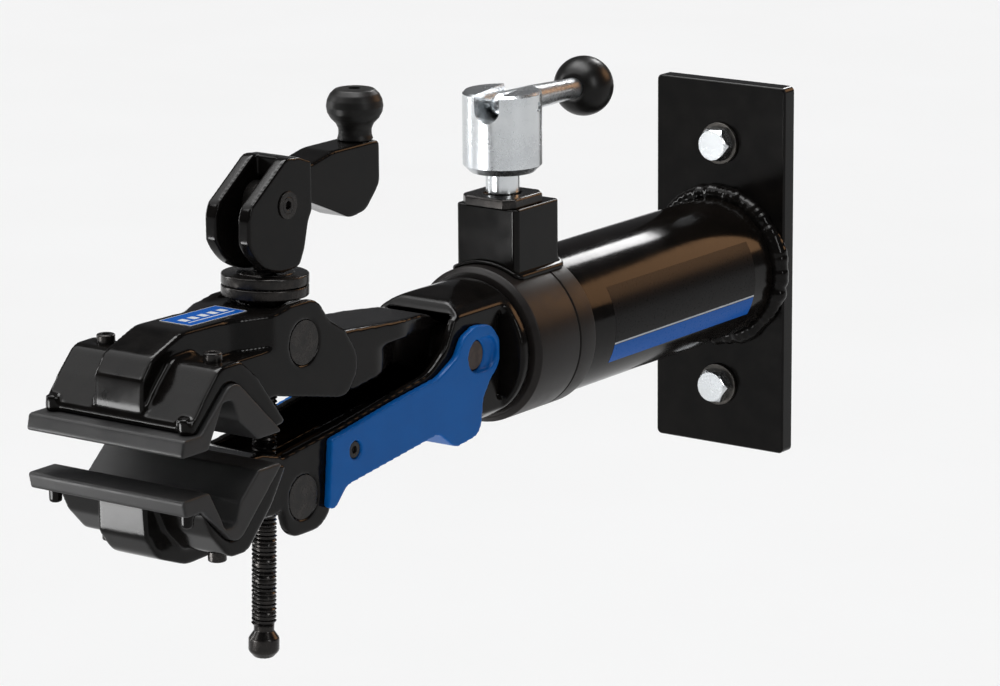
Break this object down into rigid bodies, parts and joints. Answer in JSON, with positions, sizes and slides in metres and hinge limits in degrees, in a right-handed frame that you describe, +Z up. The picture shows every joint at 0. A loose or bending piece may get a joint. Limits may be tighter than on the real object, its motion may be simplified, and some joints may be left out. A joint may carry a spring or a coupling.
{
  "type": "wall mount repair stand clamp",
  "caption": "Wall-mounted bicycle repair clamp: bolted plate and tube, lockable swivelling head, screw and cam jaws with V pads",
  "frame": {"origin": "centre of the wall plate's back face, midway between the two wall bolts", "axes": "+Y into the wall along the outer tube's axis, +Z up, +X along the length of the jaws"},
  "size_m": [0.093, 0.5746, 0.2665],
  "materials": {
    "black_powder_coat": "gloss black powder coat with a fine orange peel",
    "black_tube_coat": "gloss black powder coat on the outer tube",
    "collar_satin": "satin brown-black",
    "bright_zinc": "bright zinc plate with turning marks",
    "black_oxide": "black oxide on turned steel",
    "pin_steel": "dark brown phosphated steel",
    "dark_washer": "dark zinc",
    "blue_cover": "moulded blue, fine texture",
    "jaw_rubber": "matte dark grey",
    "ball_black": "polished black phenolic",
    "grip_black": "satin black nylon",
    "bearing_plastic": "natural dark acetal",
    "brake_steel": "plain machined steel"
  },
  "bodies": {
    "wall_frame": {"wall_plate": "black_powder_coat", "outer_tube": "black_tube_coat", "plate_weld": "black_powder_coat", "wall_bolt_upper": "bright_zinc", "wall_bolt_lower": "bright_zinc", "wall_washer_upper": "dark_washer", "wall_washer_lower": "dark_washer", "collar_sleeve": "collar_satin", "front_bushing": "bearing_plastic", "rear_bushing": "bearing_plastic", "lock_socket": "black_powder_coat", "socket_weld": "black_powder_coat", "lock_nut": "black_powder_coat"},
    "clamp_head": {"swivel_shaft": "brake_steel", "shaft_retainer": "brake_steel", "thrust_washer": "bearing_plastic", "lower_arm": "black_powder_coat", "lower_jaw": "black_powder_coat", "lower_pad": "jaw_rubber", "lower_pad_bolt_near": "black_oxide", "lower_pad_bolt_far": "black_oxide", "pivot_pin": "pin_steel", "arm_cover": "blue_cover", "cover_screw_near": "black_oxide", "cover_screw_far": "black_oxide"},
    "jaw_arm": {"upper_arm": "black_powder_coat", "upper_jaw": "black_powder_coat", "upper_pad": "jaw_rubber", "upper_pad_bolt_near": "black_oxide", "upper_pad_bolt_far": "black_oxide"},
    "lower_trunnion": {"trunnion_nut": "black_oxide"},
    "upper_trunnion": {"trunnion_seat": "black_oxide", "lower_disc": "black_oxide"},
    "screw": {"clamp_screw": "black_oxide", "screw_cap": "black_oxide", "upper_disc": "black_oxide"},
    "cam_handle": {"cam_lever": "black_powder_coat", "cam_pin": "black_oxide", "cam_washer_near": "black_oxide", "cam_washer_far": "black_oxide", "grip_axle": "black_oxide"},
    "grip": {"grip_knob": "grip_black"},
    "brake": {"brake_shoe": "brake_steel"},
    "lock": {"lock_hub": "bright_zinc", "lock_stud": "bright_zinc", "lever_pin": "bright_zinc"},
    "lock_handle": {"lever_rod": "bright_zinc", "lever_ball": "ball_black"}
  },
  "joints": [
    {"name": "arm_swivel", "type": "hinge", "parent": "wall_frame", "child": "clamp_head", "pos_m": [0, -0.24, 0], "axis": [0, 1, 0], "continuous": true},
    {"name": "jaw_swing", "type": "hinge", "parent": "clamp_head", "child": "jaw_arm", "pos_m": [0, -0.273, 0.0055], "axis": [-1, 0, 0], "range_deg": [-4.4, 7.8]},
    {"name": "nut_tilt", "type": "hinge", "parent": "clamp_head", "child": "lower_trunnion", "pos_m": [0, -0.409, -0.0365], "axis": [-1, 0, 0], "range_deg": [-2.2, 3.8]},
    {"name": "seat_tilt", "type": "hinge", "parent": "jaw_arm", "child": "upper_trunnion", "pos_m": [0, -0.4063, 0.0385], "axis": [-1, 0, 0], "range_deg": [-5, 2.8]},
    {"name": "screw_turn", "type": "hinge", "parent": "upper_trunnion", "child": "screw", "pos_m": [0, -0.4063, 0.0385], "axis": [0, 0.036, 0.9994], "range_deg": [-1692, 3240]},
    {"name": "cam_flip", "type": "hinge", "parent": "screw", "child": "cam_handle", "pos_m": [0, -0.40398, 0.103], "axis": [1, 0, 0], "range_deg": [0, 100]},
    {"name": "grip_spin", "type": "hinge", "parent": "cam_handle", "child": "grip", "pos_m": [0, -0.334, 0.122], "axis": [0, 0, 1], "continuous": true},
    {"name": "shoe_lift", "type": "slide", "parent": "wall_frame", "child": "brake", "axis": [0, 0, 1], "range_m": [0, 0.000786]},
    {"name": "lock_turn", "type": "hinge", "parent": "brake", "child": "lock", "pos_m": [0, -0.2123, 0.06], "axis": [0, 0, 1], "range_deg": [0, 140]},
    {"name": "lever_tilt", "type": "hinge", "parent": "lock", "child": "lock_handle", "pos_m": [0, -0.2123, 0.1203], "axis": [0.9803, 0.1977, 0], "range_deg": [0, 90]}
  ],
  "couplings": [
    {"joint": "jaw_swing", "follows": "screw_turn", "ratio": 0.0023701},
    {"joint": "nut_tilt", "follows": "screw_turn", "ratio": 0.0009125},
    {"joint": "seat_tilt", "follows": "screw_turn", "ratio": -0.0014576},
    {"joint": "shoe_lift", "follows": "lock_turn", "m_per_rad": 0.00031831}
  ]
}
